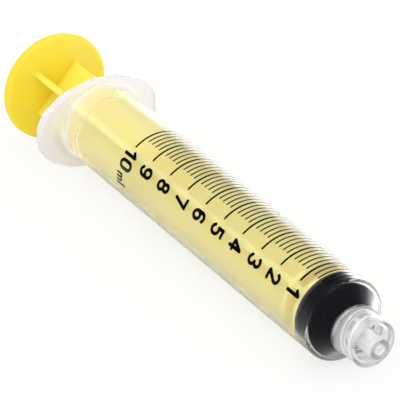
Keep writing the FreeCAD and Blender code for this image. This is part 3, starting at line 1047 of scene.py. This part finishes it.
# Gloss mirrors a darker table on the near side, painted shade that gives the plastic its shape
near_side = add_node(
    table_tree,
    "ShaderNodeMath",
    {1: NEAR_LOSS, 2: ROOM_WHITE},
    {0: table_rays["Is Glossy Ray"]},
    operation="MULTIPLY_ADD",
)
# Painted light: for gloss and clear plastic the table glows from the near side's level up to FAR_WHITE on its far
# side
painted_glow_by_place = add_node(
    table_tree,
    "ShaderNodeMapRange",
    {"From Min": 0.0, "From Max": FAR_SIDE * MM, "To Max": FAR_WHITE},
    {"Value": table_place.outputs["Y"], "To Min": near_side.outputs[0]},
    interpolation_type="SMOOTHSTEP",
)
table_strength = add_node(
    table_tree,
    "ShaderNodeMix",
    {NUMBER_B: ROOM_WHITE},
    {FACTOR: table_rays["Is Camera Ray"], NUMBER_A: painted_glow_by_place.outputs["Result"]},
    data_type="FLOAT",
)
print("far side of the table looks %.1f times white" % FAR_WHITE)

# %% The table's paint
WHITE_SHARE = 0.72
seen_or_through = add_node(
    table_tree,
    "ShaderNodeMath",
    links={0: table_rays["Is Camera Ray"], 1: table_rays["Is Transmission Ray"]},
    operation="MAXIMUM",
)
looked_at = add_node(
    table_tree,
    "ShaderNodeMath",
    links={0: seen_or_through.outputs[0], 1: table_rays["Is Glossy Ray"]},
    operation="MAXIMUM",
)
white_share = add_node(
    table_tree, "ShaderNodeMath", {1: WHITE_SHARE}, {0: looked_at.outputs[0]}, operation="MULTIPLY"
)
matt = add_node(table_tree, "ShaderNodeBsdfDiffuse", {"Color": colour("F4F4F4")})
bright = add_node(
    table_tree,
    "ShaderNodeEmission",
    {"Color": WHITE},
    {"Strength": table_strength.outputs[MIXED_NUMBER]},
)
table_finish = add_node(
    table_tree,
    "ShaderNodeMixShader",
    links={0: white_share.outputs[0], 1: matt.outputs["BSDF"], 2: bright.outputs["Emission"]},
)
add_node(
    table_tree, "ShaderNodeOutputMaterial", links={"Surface": table_finish.outputs["Shader"]}
)
HALF_TABLE = 3.0
table_corners = np.array([[-1, -1, 0], [1, -1, 0], [1, 1, 0], [-1, 1, 0]], float) * HALF_TABLE
table = make_object("table", table_corners, [np.array([[0, 1, 2, 3]])])
table.data.materials.append(table_paint)

# %% [markdown]
# ## The room
# The room is bright and even. What lights the syringe and what it mirrors aren't the same,
# though: plastic under an all-white room has no shape. So the light is a shade weaker near the
# floor, gloss mirrors a bright band at eye level under a dark ceiling, with a large window
# behind the syringe, and what clear plastic bends upwards gets darker too.

# %% Brightness by direction
CEILING = 0.02
CEILING_THROUGH = 0.05
NEAR_FLOOR = 0.97
room = bpy.data.worlds.new("pale_room")
bpy.context.scene.world = room
room.use_nodes = True
room_tree = room.node_tree
room_tree.nodes.clear()
way = add_node(room_tree, "ShaderNodeTexCoord").outputs["Generated"]
direction = add_node(room_tree, "ShaderNodeSeparateXYZ", links={"Vector": way})
# Each ramp is an axis of the direction, the two places on it between which the ramp runs, and
# its value at each of them
RAMPS = {
    "mirrored": ("Z", -0.05, 0.2, ROOM_WHITE, CEILING),
    "window": ("Z", 0.1, 0.36, FAR_WHITE, CEILING),
    "far": ("Y", 0.3, 0.55, 0.0, 1.0),
    "behind": ("X", -0.5, -0.68, 0.0, 1.0),
    "through": ("Z", 0.1, 0.6, ROOM_WHITE, CEILING_THROUGH),
}
ramps = {}
for ramp_name, (axis, low, high, at_low, at_high) in RAMPS.items():
    ramps[ramp_name] = add_node(
        room_tree,
        "ShaderNodeMapRange",
        {"From Min": low, "From Max": high, "To Min": at_low, "To Max": at_high},
        {"Value": direction.outputs[axis]},
        interpolation_type="SMOOTHSTEP",
    ).outputs["Result"]
lighting = add_node(
    room_tree,
    "ShaderNodeMapRange",
    {"From Min": -0.2, "From Max": 1.0, "To Min": NEAR_FLOOR, "To Max": ROOM_WHITE},
    {"Value": direction.outputs["Z"]},
)
print("the room's brightness has %d ramps" % (len(ramps) + 1))

# %% The room, for each kind of ray
room_rays = add_node(room_tree, "ShaderNodeLightPath").outputs
far_behind = add_node(
    room_tree, "ShaderNodeMath", links={0: ramps["far"], 1: ramps["behind"]}, operation="MULTIPLY"
)
for_gloss = add_node(
    room_tree,
    "ShaderNodeMix",
    links={FACTOR: far_behind.outputs[0], NUMBER_A: ramps["mirrored"], NUMBER_B: ramps["window"]},
    data_type="FLOAT",
)
lit_or_mirrored = add_node(
    room_tree,
    "ShaderNodeMix",
    links={
        FACTOR: room_rays["Is Glossy Ray"],
        NUMBER_A: lighting.outputs["Result"],
        NUMBER_B: for_gloss.outputs[MIXED_NUMBER],
    },
    data_type="FLOAT",
)
room_strength = add_node(
    room_tree,
    "ShaderNodeMix",
    links={
        FACTOR: room_rays["Is Transmission Ray"],
        NUMBER_A: lit_or_mirrored.outputs[MIXED_NUMBER],
        NUMBER_B: ramps["through"],
    },
    data_type="FLOAT",
)
lit_room = add_node(
    room_tree,
    "ShaderNodeBackground",
    {"Color": WHITE},
    {"Strength": room_strength.outputs[MIXED_NUMBER]},
)
seen_room = add_node(room_tree, "ShaderNodeBackground", {"Color": WHITE, "Strength": ROOM_WHITE})
sky = add_node(
    room_tree,
    "ShaderNodeMixShader",
    links={0: room_rays["Is Camera Ray"], 1: lit_room.outputs[0], 2: seen_room.outputs[0]},
)
add_node(room_tree, "ShaderNodeOutputWorld", links={"Surface": sky.outputs["Shader"]})
print(room.name, "has", len(room_tree.nodes), "nodes")

# %% [markdown]
# ## A window overhead
# One large soft lamp, almost overhead, gives the syringe its faint shadow.

# %% One soft window


def towards(azimuth, elevation):
    """The direction to a point of the sky: 0 is the near side, and the azimuth turns to +X.

    Its ground part is the cosine of the elevation, shared out by the sine and the cosine of the
    azimuth, and its height is the sine of the elevation.
    """
    a, e = math.radians(azimuth), math.radians(elevation)
    return Vector((math.sin(a) * math.cos(e), -math.cos(a) * math.cos(e), math.sin(e)))


def soft_window(name, azimuth, elevation, distance, size, watts):
    """A square lamp at a distance along its direction, turned to face the syringe's middle."""
    back = towards(azimuth, elevation)
    lamp = bpy.data.lights.new(name, "AREA")
    lamp.size = size
    lamp.energy = watts
    holder = bpy.data.objects.new(name, lamp)
    facing = back.to_track_quat("Z", "Y").to_matrix().to_4x4()
    holder.matrix_world = Matrix.Translation(back * distance) @ facing
    bpy.context.scene.collection.objects.link(holder)
    print("%s: %.1f watts from %.1f m" % (name, watts, distance))


soft_window("window", azimuth=60.0, elevation=80.0, distance=0.6, size=0.45, watts=0.7)

# %% [markdown]
# ## The camera
# The photograph was taken from in front and above with a long lens. The angles, the distance
# and the lens were fitted to the barrel's outline, the scale's spacing and the thumb disc.

# %% The camera, for a square picture of 400 by 400
CAMERA_AZIMUTH = 61.109
CAMERA_ELEVATION = 30.607
CAMERA_ROLL = -5.324
CAMERA_DISTANCE = 0.60044
CAMERA_TARGET = Vector((-2.12, 0.43, 9.94)) * MM
FOCAL_PIXELS = 3200.75
FRAME_PIXELS = 400
SENSOR_WIDTH = 36.0
lens = bpy.data.cameras.new("camera")
lens.sensor_width = SENSOR_WIDTH
lens.lens = FOCAL_PIXELS / FRAME_PIXELS * SENSOR_WIDTH
lens.clip_start = 0.01
lens.clip_end = 20.0
camera = bpy.data.objects.new("camera", lens)
to_camera = towards(CAMERA_AZIMUTH, CAMERA_ELEVATION)
roll = Matrix.Rotation(math.radians(CAMERA_ROLL), 3, "Z")
turned = to_camera.to_track_quat("Z", "Y").to_matrix() @ roll
stand = Matrix.Translation(CAMERA_TARGET + to_camera * CAMERA_DISTANCE)
camera.matrix_world = stand @ turned.to_4x4()
bpy.context.scene.collection.objects.link(camera)
bpy.context.scene.camera = camera
bpy.context.scene.view_settings.view_transform = "Standard"
print("lens %.1f mm" % lens.lens)
